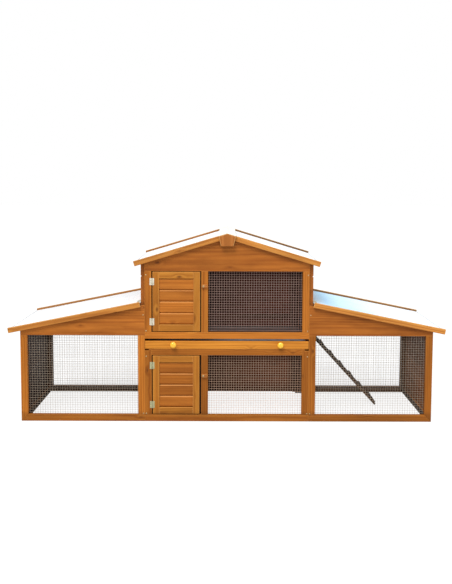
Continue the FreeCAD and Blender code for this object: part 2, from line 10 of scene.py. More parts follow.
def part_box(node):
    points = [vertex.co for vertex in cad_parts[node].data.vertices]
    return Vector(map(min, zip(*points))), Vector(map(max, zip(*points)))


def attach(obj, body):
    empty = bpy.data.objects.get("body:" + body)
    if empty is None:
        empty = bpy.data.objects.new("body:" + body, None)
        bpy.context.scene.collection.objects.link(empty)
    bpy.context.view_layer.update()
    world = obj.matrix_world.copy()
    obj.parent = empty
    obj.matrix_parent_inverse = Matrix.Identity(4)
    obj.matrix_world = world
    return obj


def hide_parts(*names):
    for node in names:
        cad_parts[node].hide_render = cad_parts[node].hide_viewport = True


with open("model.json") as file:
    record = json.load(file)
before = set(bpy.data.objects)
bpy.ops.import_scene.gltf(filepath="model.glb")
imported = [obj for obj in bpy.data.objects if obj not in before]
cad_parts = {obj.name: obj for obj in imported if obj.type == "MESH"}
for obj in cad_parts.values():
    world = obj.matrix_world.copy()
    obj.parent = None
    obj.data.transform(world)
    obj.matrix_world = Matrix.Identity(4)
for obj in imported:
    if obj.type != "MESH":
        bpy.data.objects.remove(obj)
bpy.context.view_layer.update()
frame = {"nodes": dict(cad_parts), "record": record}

bodyOf = {node: body for body, members in frame["record"]["behaviour"]["bodies"].items() for node in members}
slotOf = {part["node"]: part["material_slot"] for part in frame["record"]["subparts"]}
print("frame loaded,", len(frame["nodes"]), "nodes")


def addToScene(name, data):
    made = bpy.data.objects.new(name, data)
    bpy.context.scene.collection.objects.link(made)
    return made


# camera at the photograph's place
photoView = {
    "place": (-0.001, -3.3445, 1.160),
    "pitch": 3.99,  # degrees down
    "yaw": 0.235,
    "roll": -0.246,
    "lens": 40.27,
    "shift": (-0.0065, -0.1091),
}
camera = addToScene("photoCamera", bpy.data.cameras.new("photoCamera"))
camera.data.lens = photoView["lens"]
camera.data.shift_x, camera.data.shift_y = photoView["shift"]
camera.matrix_world = (
    Matrix.Translation(photoView["place"])
    @ Matrix.Rotation(-math.radians(photoView["yaw"]), 4, "Z")
    @ Matrix.Rotation(math.radians(90 - photoView["pitch"]), 4, "X")
    @ Matrix.Rotation(-math.radians(photoView["roll"]), 4, "Z")
)
bpy.context.scene.camera = camera
bpy.context.scene.view_settings.view_transform = "Standard"

# pale floor, white room, a soft sun from above and two lamps
studio = {
    "room": 0.52,
    "roomColour": (0.97, 0.985, 1.0, 1),
    "backdrop": 1.0,  # what the camera sees behind the hutch
    "floorRadius": 30.0,
    "floorSides": 96,
    "floorColour": (0.50, 0.50, 0.50, 1),
    "floorRough": 0.9,
    "floorSheen": 0.1,
    "floorGlow": 0.90,  # lifts the floor to white without lighting the hutch from below
    "floorShade": (0.14, 0.14, 0.14, 1),  # how much shadow shows on the lifted floor
    "sun": {"height": 56, "side": -24, "watts": 2.9, "softness": 30},  # angles in degrees
    "lamps": {  # place, aim, size, watts, colour
        "fillLamp": ((0.6, -4.2, 1.5), (0, 0, 0.4), 2.6, 30, (1, 1, 1)),
        "skyLamp": ((1.5, -0.8, 1.9), (0.50, 0, 0.55), 1.1, 11, (0.66, 0.84, 1.0)),
    },
}


def splitByCamera(tree, unseen, seen, output):
    choose = tree.nodes.new("ShaderNodeMixShader")
    tree.links.new(tree.nodes.new("ShaderNodeLightPath").outputs["Is Camera Ray"], choose.inputs[0])
    tree.links.new(unseen.outputs[0], choose.inputs[1])
    tree.links.new(seen.outputs[0], choose.inputs[2])
    tree.links.new(choose.outputs[0], output.inputs["Surface"])


def buildRoom(look):
    world = bpy.data.worlds.new("whiteRoom")
    world.use_nodes = True
    tree = world.node_tree
    seen = tree.nodes["Background"]
    seen.inputs["Color"].default_value = (1, 1, 1, 1)
    seen.inputs["Strength"].default_value = look["backdrop"]
    glow = tree.nodes.new("ShaderNodeBackground")
    glow.inputs["Color"].default_value = look["roomColour"]
    glow.inputs["Strength"].default_value = look["room"]
    splitByCamera(tree, glow, seen, tree.nodes["World Output"])
    bpy.context.scene.world = world


def buildFloor(look):
    disc = bmesh.new()
    bmesh.ops.create_circle(disc, cap_ends=True, segments=look["floorSides"], radius=look["floorRadius"])
    mesh = bpy.data.meshes.new("floor")
    disc.to_mesh(mesh)
    disc.free()
    floor = addToScene("floor", mesh)
    paint = bpy.data.materials.new("floorPaint")
    paint.use_nodes = True
    tree = paint.node_tree
    plain = tree.nodes["Principled BSDF"]
    plain.inputs["Base Color"].default_value = look["floorColour"]
    plain.inputs["Roughness"].default_value = look["floorRough"]
    plain.inputs["Specular IOR Level"].default_value = look["floorSheen"]
    glow = tree.nodes.new("ShaderNodeEmission")
    glow.inputs["Strength"].default_value = look["floorGlow"]
    shade = tree.nodes.new("ShaderNodeBsdfDiffuse")
    shade.inputs["Color"].default_value = look["floorShade"]
    lifted = tree.nodes.new("ShaderNodeAddShader")
    tree.links.new(shade.outputs[0], lifted.inputs[0])
    tree.links.new(glow.outputs[0], lifted.inputs[1])
    splitByCamera(tree, plain, lifted, tree.nodes["Material Output"])
    mesh.materials.append(paint)


def hangLamps(look):
    sun = bpy.data.lights.new("softSun", "SUN")
    sun.energy, sun.angle = look["sun"]["watts"], math.radians(look["sun"]["softness"])
    holder = addToScene("softSun", sun)
    holder.rotation_euler = (math.radians(90 - look["sun"]["height"]), 0, math.radians(look["sun"]["side"]))
    for name, (place, aim, size, watts, colour) in look["lamps"].items():
        lamp = bpy.data.lights.new(name, "AREA")
        lamp.size, lamp.energy, lamp.color = size, watts, colour
        holder = addToScene(name, lamp)
        holder.location = place
        holder.rotation_euler = (Vector(aim) - Vector(place)).to_track_quat("-Z", "Y").to_euler()


buildRoom(studio)
buildFloor(studio)
hangLamps(studio)
print("camera, floor and lamps ready")


# finishes
def newFinish(name):
    finish = bpy.data.materials.new(name)
    finish.use_nodes = True
    return finish, finish.node_tree, finish.node_tree.nodes["Principled BSDF"]


def feed(tree, socket, value):
    if isinstance(value, bpy.types.NodeSocket):
        tree.links.new(value, socket)
    else:
        socket.default_value = value


def attribute(tree, name, output):
    made = tree.nodes.new("ShaderNodeAttribute")
    made.attribute_name = name
    return made.outputs[output]


def objectPlace(tree):
    return tree.nodes.new("ShaderNodeTexCoord").outputs["Object"]


def objectAxis(tree, axis):
    made = tree.nodes.new("ShaderNodeSeparateXYZ")
    tree.links.new(objectPlace(tree), made.inputs[0])
    return made.outputs[axis]


def scaled(tree, source, factors):
    made = tree.nodes.new("ShaderNodeVectorMath")
    made.operation = "MULTIPLY"
    made.inputs[1].default_value = factors
    tree.links.new(source, made.inputs[0])
    return made.outputs[0]


def shifted(tree, source, factors, base):
    made = tree.nodes.new("ShaderNodeVectorMath")
    made.operation = "MULTIPLY_ADD"
    made.inputs[1].default_value = factors
    tree.links.new(source, made.inputs[0])
    tree.links.new(base, made.inputs[2])
    return made.outputs[0]


def noise(tree, source, detail, roughness=0.5):
    made = tree.nodes.new("ShaderNodeTexNoise")
    made.inputs["Scale"].default_value = 1.0
    made.inputs["Detail"].default_value = detail
    made.inputs["Roughness"].default_value = roughness
    tree.links.new(source, made.inputs["Vector"])
    return made


def voronoi(tree, source, scale):
    made = tree.nodes.new("ShaderNodeTexVoronoi")
    made.inputs["Scale"].default_value = scale
    tree.links.new(source, made.inputs["Vector"])
    return made


def ramp(tree, source, stops):
    made = tree.nodes.new("ShaderNodeValToRGB")
    band = made.color_ramp
    while len(band.elements) < len(stops):
        band.elements.new(0.5)
    for element, (place, colour) in zip(band.elements, stops):
        element.position = place
        element.color = (*colour, 1)
    tree.links.new(source, made.inputs["Fac"])
    return made.outputs["Color"]


def mixed(tree, kind, amount, first, second):
    made = tree.nodes.new("ShaderNodeMix")
    made.data_type, made.blend_type = "RGBA", kind
    feed(tree, made.inputs["Factor"], amount)
    feed(tree, made.inputs[6], first)  # the two colour sockets
    feed(tree, made.inputs[7], second)
    return made.outputs[2]


def figure(tree, operation, first, second):
    made = tree.nodes.new("ShaderNodeMath")
    made.operation = operation
    feed(tree, made.inputs[0], first)
    feed(tree, made.inputs[1], second)
    return made.outputs[0]


def signedRamp(tree, source, stops):
    half = 0.5  # brings places from -1 to 1 into the ramp
    share = figure(tree, "ADD", figure(tree, "MULTIPLY", source, half), half)
    return ramp(tree, share, tuple((place * half + half, colour) for place, colour in stops))


def bumped(tree, shader, height, strength, distance):
    made = tree.nodes.new("ShaderNodeBump")
    made.inputs["Strength"].default_value = strength
    made.inputs["Distance"].default_value = distance
    tree.links.new(height, made.inputs["Height"])
    tree.links.new(made.outputs[0], shader.inputs["Normal"])


def grey(value):
    return (value, value, value)


def roughRamp(tree, source, look, base):
    rough = [grey(look["rough"] + more) for more in base["roughSpread"]]
    return ramp(tree, source, tuple(zip(base["roughAt"], rough)))


pineGrain = {  # shared by all the timber, scales along, across and through a board
    "swayScale": (2.0, 9, 9), "stretch": (0.03, 1, 1), "fibreScale": (10, 620, 620),
    "stainScale": (2.6, 12, 12), "streakScale": (1.6, 110, 110), "coarse": 0.6,
    "swirl": ((0.05, grey(1.0)), (0.30, grey(0.0))), "knotPush": (0, 0.006, 0.006),
    "knotHeart": ((0.03, grey(1.0)), (0.07, grey(0.55)), (0.13, grey(0.0))), "knotDepth": 0.75,
    "ringScale": 0.314, "ringWobble": {"Distortion": 0.5, "Detail": 2.0, "Detail Scale": 0.3},
    "fibreDepth": 0.30, "softDepth": 0.70, "colourAt": (0.25, 0.50, 0.78),
    "patches": ((0.32, (0.74, 0.70, 0.66)), (0.50, grey(1.0)), (0.68, (1.18, 1.16, 1.10))),
    "tones": ((-0.5, (0.56, 0.53, 0.47)), (0.0, (0.78, 0.76, 0.72)), (0.5, grey(1.0)),
              (1.0, (1.18, 1.20, 1.22))),
    # where the painted shade near the ground fades out, and how its edge wavers
    "groundShadeAt": (0.044, 0.064), "groundShadeWobble": 0.02,
    "roughAt": (0.25, 0.8), "roughSpread": (-0.06, 0.1), "specular": 0.14, "bump": (0.3, 0.0005),
}


def stainedPine(name, look):
    finish, tree, shader = newFinish(name)
    base = pineGrain
    place = attribute(tree, "grain", "Vector")  # metres along, across and through each board
    tone = attribute(tree, "tone", "Fac")  # one number for each board
    worn = attribute(tree, "worn", "Fac")  # 1 on the eased edges
    innerShade = attribute(tree, "innerShade", "Fac")  # 1 where painted shade darkens the inside

    knots = voronoi(tree, scaled(tree, place, look["knots"]), 1.0).outputs["Distance"]
    sway = noise(tree, scaled(tree, place, base["swayScale"]), 2).outputs["Color"]
    bend = shifted(tree, sway, (0, look["sway"], look["sway"]), scaled(tree, place, base["stretch"]))
    rings = tree.nodes.new("ShaderNodeTexWave")
    rings.wave_type, rings.rings_direction, rings.wave_profile = "RINGS", "X", "SIN"
    rings.inputs["Scale"].default_value = base["ringScale"] / look["ring"]
    for socket, value in base["ringWobble"].items():
        rings.inputs[socket].default_value = value
    swirl = ramp(tree, knots, base["swirl"])
    tree.links.new(shifted(tree, swirl, base["knotPush"], bend), rings.inputs["Vector"])
    fibre = noise(tree, scaled(tree, place, base["fibreScale"]), 3, base["coarse"]).outputs["Fac"]
    stain = noise(tree, scaled(tree, place, base["stainScale"]), 4, base["coarse"]).outputs["Fac"]
    streak = noise(tree, scaled(tree, place, base["streakScale"]), 3, base["coarse"]).outputs["Fac"]

    depth = figure(tree, "ADD", figure(tree, "MULTIPLY", rings.outputs["Fac"], look["ringDepth"]),
                   figure(tree, "MULTIPLY", fibre, base["fibreDepth"]))
    soft = figure(tree, "MULTIPLY", streak, base["softDepth"] - look["ringDepth"])
    depth = figure(tree, "ADD", depth, soft)
    colour = ramp(tree, depth, tuple(zip(base["colourAt"], (look["light"], look["mid"], look["dark"]))))
    colour = mixed(tree, "MULTIPLY", look["patchy"], colour, ramp(tree, stain, base["patches"]))
    colour = mixed(tree, "MULTIPLY", 1.0, colour, signedRamp(tree, tone, base["tones"]))
    heart = figure(tree, "MULTIPLY", ramp(tree, knots, base["knotHeart"]), base["knotDepth"])
    colour = mixed(tree, "MIX", heart, colour, (*look["knot"], 1))
    rubbed = figure(tree, "MULTIPLY", worn, figure(tree, "MULTIPLY", streak, look["wear"]))
    colour = mixed(tree, "MIX", rubbed, colour, (*look["bare"], 1))
    # painted shade on the faces inside the hutch
    colour = mixed(tree, "MULTIPLY", innerShade, colour, (*look["inside"], 1))
    if look.get("corners"):  # painted shade, darker in the inside corners beside the window, and painted light between them
        corners = signedRamp(tree, objectAxis(tree, "X"), look["corners"])
        colour = mixed(tree, "MULTIPLY", innerShade, colour, corners)
    height = objectAxis(tree, "Z")
    low = figure(tree, "ADD", height, figure(tree, "MULTIPLY", stain, base["groundShadeWobble"]))
    groundShade = ramp(tree, low, tuple(zip(base["groundShadeAt"], (look["groundShade"], grey(1.0)))))
    colour = mixed(tree, "MULTIPLY", 1.0, colour, groundShade)  # painted shade near the ground
    if look.get("topShade"):  # painted shade, darker towards one end of its height
        colour = mixed(tree, "MULTIPLY", 1.0, colour, ramp(tree, height, look["topShade"]))
    tree.links.new(colour, shader.inputs["Base Color"])
    tree.links.new(roughRamp(tree, depth, look, base), shader.inputs["Roughness"])
    shader.inputs["Specular IOR Level"].default_value = base["specular"]
    bumped(tree, shader, figure(tree, "SUBTRACT", 1.0, depth), *base["bump"])
    return finish


honey = {
    "light": (0.50, 0.172, 0.022), "mid": (0.415, 0.131, 0.0145), "dark": (0.29, 0.079, 0.008),
    "knot": (0.10, 0.026, 0.005), "bare": (0.60, 0.25, 0.05), "wear": 0.7, "patchy": 0.7,
    "ring": 0.0065, "ringDepth": 0.30, "sway": 0.012, "knots": (8, 16, 16), "rough": 0.55,
    # the next line's two colours are painted shade: on faces inside the hutch and near the ground
    "inside": (0.10, 0.095, 0.34), "groundShade": (0.70, 0.70, 0.74),
}
honeyPine = stainedPine("honeyPine", honey)
gablePine = stainedPine("gablePine", {
    **honey, "light": (0.43, 0.138, 0.019), "mid": (0.345, 0.103, 0.0135), "dark": (0.235, 0.060, 0.0075),
    "patchy": 1.0, "ring": 0.009, "ringDepth": 0.20, "sway": 0.020,
})
doorPine = stainedPine("doorPine", {
    **honey, "light": (0.47, 0.186, 0.026), "mid": (0.395, 0.143, 0.017), "dark": (0.28, 0.087, 0.010),
    "bare": (0.72, 0.33, 0.09),
})
slatPine = stainedPine("slatPine", {
    **honey, "light": (0.48, 0.160, 0.022), "mid": (0.40, 0.125, 0.0155), "dark": (0.28, 0.078, 0.0085),
    "bare": (0.74, 0.34, 0.10), "ringDepth": 0.22, "patchy": 0.8,
})
trayPine = stainedPine("trayPine", {
    **honey, "light": (0.78, 0.31, 0.040), "mid": (0.68, 0.255, 0.029), "dark": (0.50, 0.165, 0.016),
    "patchy": 0.5,
})
# its inside colour is painted shade on the back barges' faces towards the roof
bargePine = stainedPine("bargePine", {
    **honey, "light": (0.58, 0.245, 0.050), "mid": (0.49, 0.185, 0.034), "dark": (0.36, 0.115, 0.018),
    "bare": (0.80, 0.50, 0.19), "wear": 1.2, "inside": (0.36, 0.44, 0.75),
})
keystonePine = stainedPine("keystonePine", {
    **honey, "light": (0.47, 0.165, 0.036), "mid": (0.40, 0.135, 0.027), "dark": (0.30, 0.092, 0.016),
    "bare": (0.74, 0.40, 0.14), "patchy": 0.4, "wear": 1.2,
})
wall = {**honey, "light": (0.42, 0.135, 0.022), "mid": (0.34, 0.103, 0.015), "dark": (0.23, 0.060, 0.009)}
wallPine = stainedPine("wallPine", wall)
# its inside colour is painted shade on the house's inner walls
housePine = stainedPine("housePine", {
    **wall, "inside": (0.19, 0.11, 0.30),
    # painted shade in the inside corners beside the window, painted light between them
    "corners": ((-0.10, grey(0.1)), (0.12, grey(0.9)), (0.33, grey(1.4)), (0.385, grey(0.1))),
})
deckPine = stainedPine("deckPine", {
    **honey, "light": (0.52, 0.26, 0.085), "mid": (0.42, 0.19, 0.055), "dark": (0.29, 0.115, 0.03),
    "ring": 0.012,
})
# painted shade: the ramp's very dark colours and its darkening towards the top stand in for the shade under
# the run's roof
rampPine = stainedPine("rampPine", {
    **honey, "light": (0.13, 0.062, 0.027), "mid": (0.085, 0.040, 0.017), "dark": (0.045, 0.020, 0.009),
    "bare": (0.20, 0.10, 0.05), "rough": 0.7, "topShade": ((0.12, grey(1.0)), (0.36, grey(0.1))),
})
buttonWood = stainedPine("buttonWood", {
    **honey, "light": (0.50, 0.185, 0.045), "mid": (0.40, 0.135, 0.028), "dark": (0.27, 0.078, 0.014),
    "ring": 0.003, "rough": 0.35,
})

feltGrain = {  # shared by all the roofing
    "speck": ((0.10, grey(0.74)), (0.50, grey(1.0))), "cloudScale": (5, 5, 5), "coarse": 0.6,
    # the fold colour is a painted shade line along the eave's fold
    "dustAt": (0.30, 0.58), "dusty": 0.7, "fold": (0.30, 0.31, 0.33, 1),
    "rough": ((0.3, grey(0.62)), (0.7, grey(0.8))), "bump": (0.4, 0.0004),
}


def roofingFelt(name, look):
    finish, tree, shader = newFinish(name)
    base, place = feltGrain, objectPlace(tree)
    grit = voronoi(tree, place, 1 / look["granule"])
    cloud = noise(tree, scaled(tree, place, base["cloudScale"]), 4, base["coarse"]).outputs["Fac"]
    speck = ramp(tree, grit.outputs["Color"], base["speck"])
    colour = mixed(tree, "MULTIPLY", 1.0, (*look["colour"], 1), speck)
    dust = ramp(tree, cloud, tuple(zip(base["dustAt"], (look["dust"], grey(1.0)))))
    colour = mixed(tree, "MULTIPLY", base["dusty"], colour, dust)
    fold = attribute(tree, "fold", "Fac")  # 1 on the fold along the eave, where a painted shade line runs
    colour = mixed(tree, "MULTIPLY", fold, colour, base["fold"])
    if look.get("blueShade"):  # painted blue shade and sky reflection next to the house, fading outwards
        colour = mixed(tree, "MULTIPLY", 1.0, colour, ramp(tree, objectAxis(tree, "X"), look["blueShade"]))
    tree.links.new(colour, shader.inputs["Base Color"])
    tree.links.new(ramp(tree, cloud, base["rough"]), shader.inputs["Roughness"])
    bumped(tree, shader, grit.outputs["Distance"], *base["bump"])
    return finish


whiteFelt = roofingFelt("whiteFelt", {
    "colour": (0.93, 0.94, 0.95), "dust": (0.94, 0.96, 0.99), "granule": 0.0022,
})
# a shaded copy of the white felt: its pale blue is painted shade and sky reflection
shadedBlueFelt = roofingFelt("shadedBlueFelt", {
    "colour": (0.89, 0.92, 0.94), "dust": (0.93, 0.96, 1.0), "granule": 0.0022,
    "blueShade": ((0.43, (0.90, 1.0, 1.06)), (0.50, (0.58, 0.83, 1.02)), (0.86, grey(1.0))),
})
creamCap = roofingFelt("creamCap", {
    "colour": (0.93, 0.91, 0.80), "dust": (0.97, 0.96, 0.92), "granule": 0.0018,
})

zincGrain = {  # shared by all the plated metal
    "hazeScale": (60, 60, 60), "coarse": 0.65, "tint": ((0.1, grey(0.80)), (0.9, grey(1.12))),
    "dullAt": (0.35, 0.6), "dullness": 0.8, "roughAt": (0.1, 0.9), "roughSpread": (-0.07, 0.09),
    "bump": (0.12, 0.0003),
}


def zincPlate(name, look):
    finish, tree, shader = newFinish(name)
    base, place = zincGrain, objectPlace(tree)
    spangle = voronoi(tree, place, 1 / look["spangle"]).outputs["Color"]
    haze = noise(tree, scaled(tree, place, base["hazeScale"]), 4, base["coarse"]).outputs["Fac"]
    tint = ramp(tree, spangle, base["tint"])
    colour = mixed(tree, "MULTIPLY", look["contrast"], (*look["colour"], 1), tint)
    dull = ramp(tree, haze, tuple(zip(base["dullAt"], (look["dull"], grey(1.0)))))
    colour = mixed(tree, "MULTIPLY", base["dullness"], colour, dull)
    if look.get("rim"):  # another tint from some height on; on the pan it is painted shade on the walls
        colour = mixed(tree, "MULTIPLY", 1.0, colour, ramp(tree, objectAxis(tree, "Z"), look["rim"]))
    tree.links.new(colour, shader.inputs["Base Color"])
    shader.inputs["Metallic"].default_value = look["metal"]
    tree.links.new(roughRamp(tree, spangle, look, base), shader.inputs["Roughness"])
    bumped(tree, shader, haze, *base["bump"])
    return finish


zinc = {
    "colour": (0.88, 0.89, 0.87), "dull": (0.84, 0.84, 0.80), "spangle": 0.006, "contrast": 0.4,
    "rough": 0.36, "metal": 0.85,
}
hingeZinc = zincPlate("hingeZinc", {
    **zinc, "rim": ((0.28, (0.68, 0.66, 0.40)), (0.42, (1.0, 0.92, 0.76))),  # yellower on the lower door
})
wire = {**zinc, "spangle": 0.02, "rough": 0.5, "metal": 0.25}
# the front wires' warm tints are painted reflection of the stained wood, and the lower window's brighter copy
# is painted reflection of the floor
meshZinc = zincPlate("meshZinc", {**wire, "colour": (0.57, 0.357, 0.29)})
lowZinc = zincPlate("lowZinc", {**wire, "colour": (0.66, 0.42, 0.29)})
runZinc = zincPlate("runZinc", {**wire, "colour": (0.455, 0.365, 0.275)})
fineZinc = zincPlate("fineZinc", {**wire, "colour": (0.72, 0.73, 0.76)})
panZinc = zincPlate("panZinc", {
    **zinc, "colour": (0.38, 0.43, 0.51), "spangle": 0.014, "contrast": 0.9, "rough": 0.42, "metal": 0.35,
    "rim": ((0.3640, grey(1.0)), (0.3650, (0.16, 0.10, 0.07))),  # painted shade on the walls above the floor
})
screwZinc = zincPlate("screwZinc", {
    **zinc, "colour": (0.66, 0.52, 0.30), "dull": (0.60, 0.46, 0.28), "spangle": 0.004, "rough": 0.38,
})

lacquerGrain = {
    "cloudScale": (55, 55, 55), "colourAt": (0.3, 0.6), "rough": ((0.3, grey(0.20)), (0.7, grey(0.30))),
    "coat": 0.4, "peelScale": (420, 420, 420), "bump": (0.06, 0.0003),
}


def lacquer(name, look):
    finish, tree, shader = newFinish(name)
    base, place = lacquerGrain, objectPlace(tree)
    cloud = noise(tree, scaled(tree, place, base["cloudScale"]), 3).outputs["Fac"]
    colour = ramp(tree, cloud, tuple(zip(base["colourAt"], (look["deep"], look["colour"]))))
    tree.links.new(colour, shader.inputs["Base Color"])
    tree.links.new(ramp(tree, cloud, base["rough"]), shader.inputs["Roughness"])
    shader.inputs["Coat Weight"].default_value = base["coat"]
    bumped(tree, shader, noise(tree, scaled(tree, place, base["peelScale"]), 2).outputs["Fac"], *base["bump"])
    return finish


yellowLacquer = lacquer("yellowLacquer", {"colour": (0.96, 0.55, 0.035), "deep": (0.86, 0.41, 0.02)})
print("finishes ready")


# pieces from the frame's solids
solidWeld = {"merge": 2e-6, "flat": 0.02}  # metres, radians


def solidsOf(node):
    whole = bmesh.new()
    whole.from_mesh(frame["nodes"][node].data)
    bmesh.ops.remove_doubles(whole, verts=whole.verts, dist=solidWeld["merge"])
    whole.faces.index_update()
    solids, seen = [], set()
    for start in whole.faces:
        if start.index in seen:
            continue
        kept, ahead = {start.index}, [start]
        while ahead:
            for edge in ahead.pop().edges:
                if len(edge.link_faces) == 2:  # an edge where two solids meet has four
                    ahead += [face for face in edge.link_faces if face.index not in kept]
                    kept |= {face.index for face in edge.link_faces}
        seen |= kept
        solid = whole.copy()
        others = [face for face in solid.faces if face.index not in kept]
        bmesh.ops.delete(solid, geom=others, context="FACES")
        bmesh.ops.dissolve_limit(solid, angle_limit=solidWeld["flat"], verts=solid.verts[:],
                                 edges=solid.edges[:])
        solids.append(solid)
    whole.free()
    return solids


def middleOf(verts):
    return sum((vert.co for vert in verts), Vector()) / len(verts)


def wayOf(edge):
    return (edge.verts[1].co - edge.verts[0].co).normalized()


def boardAxes(solid, along=None):
    ways = [wayOf(edge) for edge in sorted(solid.edges, key=lambda edge: -round(edge.calc_length(), 5))]
    first = Vector(along) if along else ways[0]
    first = first * (1 if max(first, key=abs) > 0 else -1)
    second = next(way for way in ways if abs(way.dot(first)) < 0.3)  # the longest edge across the first
    second = (second - first * second.dot(first)).normalized()
    return first, second, first.cross(second)


def sharpEdges(solid, least=50):
    return [edge for edge in solid.edges
            if edge.is_manifold and edge.calc_face_angle() > math.radians(least)]


def ease(solid, edges, width, segments=2):
    worn = solid.faces.layers.float.get("worn") or solid.faces.layers.float.new("worn")
    if edges and width:
        done = bmesh.ops.bevel(solid, geom=edges, offset=width, offset_type="OFFSET", segments=segments,
                               profile=0.5, affect="EDGES", material=-1, clamp_overlap=True)
        for face in done["faces"]:
            face[worn] = 1.0 if face.normal.z > -0.1 else 0.0  # not on undersides


zones = {  # metres from the middle and from the ground
    "barges": 0.237, "frame": 0.19, "lining": 0.216, "house": 0.42, "walls": 0.36, "rightEnd": 0.9,
    "endBoards": 0.988, "soles": 0.03, "sill": 0.3, "floor": 0.34,
}
insideShades = {  # how much painted shade each inside gets, from 0 to 1
    "leftBarge": 0.6, "rightBarge": 1.0, "sillTop": 0.8, "backSole": 0.4, "backRight": 0.70, "backLeft": 0.88,
    "endLow": 0.30, "endMost": 0.85,
}
turns = {"level": 0.97, "half": 0.5, "partly": 0.3, "sideways": 0.1}  # the least that a face is turned


# how much painted shade each face gets, from 0 to 1
def facesInside(face, middle):
    atFront, atBack = middle.y < -zones["frame"], middle.y > zones["frame"]
    if abs(middle.y) > zones["barges"]:  # only the back barge boards' faces towards the roof
        shaded = insideShades["rightBarge"] if middle.x > 0 else insideShades["leftBarge"]
        return shaded if atBack and face.normal.y < -turns["half"] else 0.0
    if zones["frame"] < abs(middle.y) < zones["lining"] and abs(middle.x) < zones["house"]:
        return 1.0  # corner posts, wall legs and door stops
    if atFront and face.normal.z > turns["level"]:  # the upper sill's top lies in the shade
        return insideShades["sillTop"] if middle.z > zones["sill"] else 0.0
    if middle.z < zones["soles"] and face.normal.z > turns["partly"]:
        return 0.0 if atFront or middle.x > zones["rightEnd"] else insideShades["backSole"]
    if atBack:
        outside = face.normal.y > turns["partly"] or face.normal.x * middle.x > turns["sideways"]
        low = insideShades["backRight"] if middle.x > zones["house"] else insideShades["backLeft"]
        return 0.0 if outside else 1.0 if middle.z > zones["floor"] else low
    if atFront:
        return 1.0 if face.normal.y > turns["partly"] else 0.0
    inwards = abs(middle.x) > zones["walls"] and face.normal.x * middle.x < -turns["sideways"]
    lit = min(insideShades["endMost"], insideShades["endLow"] + middle.z)  # the right run's end boards catch more light
    return (lit if middle.x > zones["endBoards"] else 1.0) if inwards else 0.0


def toneOf(tones, middle):
    if isinstance(tones, dict):  # one tone up to each place along the hutch
        return next(tone for limit, tone in tones.items() if middle.x < limit)
    return tones[0] if middle.z < zones["sill"] else tones[1]  # low boards and high boards


# where a board lies in its log, in metres, and how far its tone strays
boardDraw = {"along": 9, "across": 0.05, "through": (0.02, 0.09), "toneSpread": 0.14}


def growGrain(solid, axes, dice, look):
    innerShade = solid.faces.layers.float.new("innerShade")
    grain = solid.verts.layers.float_vector.new("grain")
    tone = solid.verts.layers.float.new("tone")
    middle = middleOf(solid.verts)
    along, across = boardDraw["along"], boardDraw["across"]
    heart = Vector((dice.uniform(-along, along), dice.uniform(-across, across),
                    dice.choice((-1, 1)) * dice.uniform(*boardDraw["through"])))
    base = toneOf(look.get("tones", (0.5, 0.5)), middle)
    shade = min(1, max(min(0, base), dice.gauss(base, boardDraw["toneSpread"])))
    for vert in solid.verts:
        part = vert.co - middle
        vert[grain] = Vector([part.dot(axis) for axis in axes]) + heart
        vert[tone] = shade
    # painted shade on the faces inside the hutch
    for face in solid.faces:
        face[innerShade] = facesInside(face, middle) if look.get("shadeInside") else 0.0


def joined(solids):
    whole = bmesh.new()
    for solid in solids:
        mesh = bpy.data.meshes.new("piece")
        solid.to_mesh(mesh)
        whole.from_mesh(mesh)
        bpy.data.meshes.remove(mesh)
        solid.free()
    return whole


def finishPiece(name, form, finish, body, slot, *nodes, smooth=None):
    mesh = bpy.data.meshes.new(name)
    form.to_mesh(mesh)
    form.free()
    mesh.materials.append(finish)
    if smooth:
        for polygon in mesh.polygons:
            polygon.use_smooth = True
        mesh.set_sharp_from_angle(angle=math.radians(smooth))
    piece = addToScene(name, mesh)
    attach(piece, body)
    if nodes:
        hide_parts(*nodes)


sameWay = 0.9  # least cosine of two ways that count as one


def onFace(edge, facing):
    return any(face.normal.dot(Vector(facing)) > sameWay for face in edge.link_faces)


def lipEdges(solid, facing, along):
    return [edge for edge in sharpEdges(solid)
            if onFace(edge, facing) and abs(wayOf(edge).dot(along)) > sameWay]


def dressTimber(node, look):
    dressed = []
    for index, solid in enumerate(solidsOf(node)):
        dice = random.Random(f"{node} {index}")
        axes = boardAxes(solid, look.get("along"))
        if look.get("groove"):
            ease(solid, lipEdges(solid, look["facing"], axes[0]), look["groove"], 1)
        ease(solid, sharpEdges(solid), look["round"])
        growGrain(solid, axes, dice, look)
        dressed.append(solid)
    finishPiece(node + "Timber", joined(dressed), look["finish"], bodyOf[node], slotOf[node], node)


frontTimber = {"finish": honeyPine, "round": 0.0014, "shadeInside": True, "nodes": {
    "lower_front_rails": (0.5, 0.1), "lower_front_posts": {-0.2: -0.2, 0.2: -0.46, 1.2: -0.22},
    "upper_front_rail": (0.9, 0.95), "upper_front_posts": (0.45, 0.45),
    "left_run_sole_rails": (0.5, 0.5), "left_run_posts": {-0.7: 0.35, 0.0: 0.95},
    "right_run_sole_rails": (0.4, 0.4), "right_run_posts": {0.7: 0.0, 1.2: -0.14}, "corner_posts": (0.0, 0.0),
    "back_frame": (0.5, 0.5), "tray_runners": (0.5, 0.5), "left_end_rails": (0.5, 0.5),
    "right_end_rails": (0.5, 0.5), "ridge_battens": (0.6, 0.6)}}
for node, tones in frontTimber["nodes"].items():
    dressTimber(node, {**frontTimber, "tones": tones})

gables = {"finish": gablePine, "round": 0.0012, "along": (1, 0, 0), "shadeInside": True, "nodes": {
    "front_gable_board": 0.6, "back_gable_board": 0.5, "left_run_gable_boards": 0.9,
    "right_run_gable_boards": 0.5}}
for node, tone in gables["nodes"].items():
    dressTimber(node, {**gables, "tones": (tone, tone)})

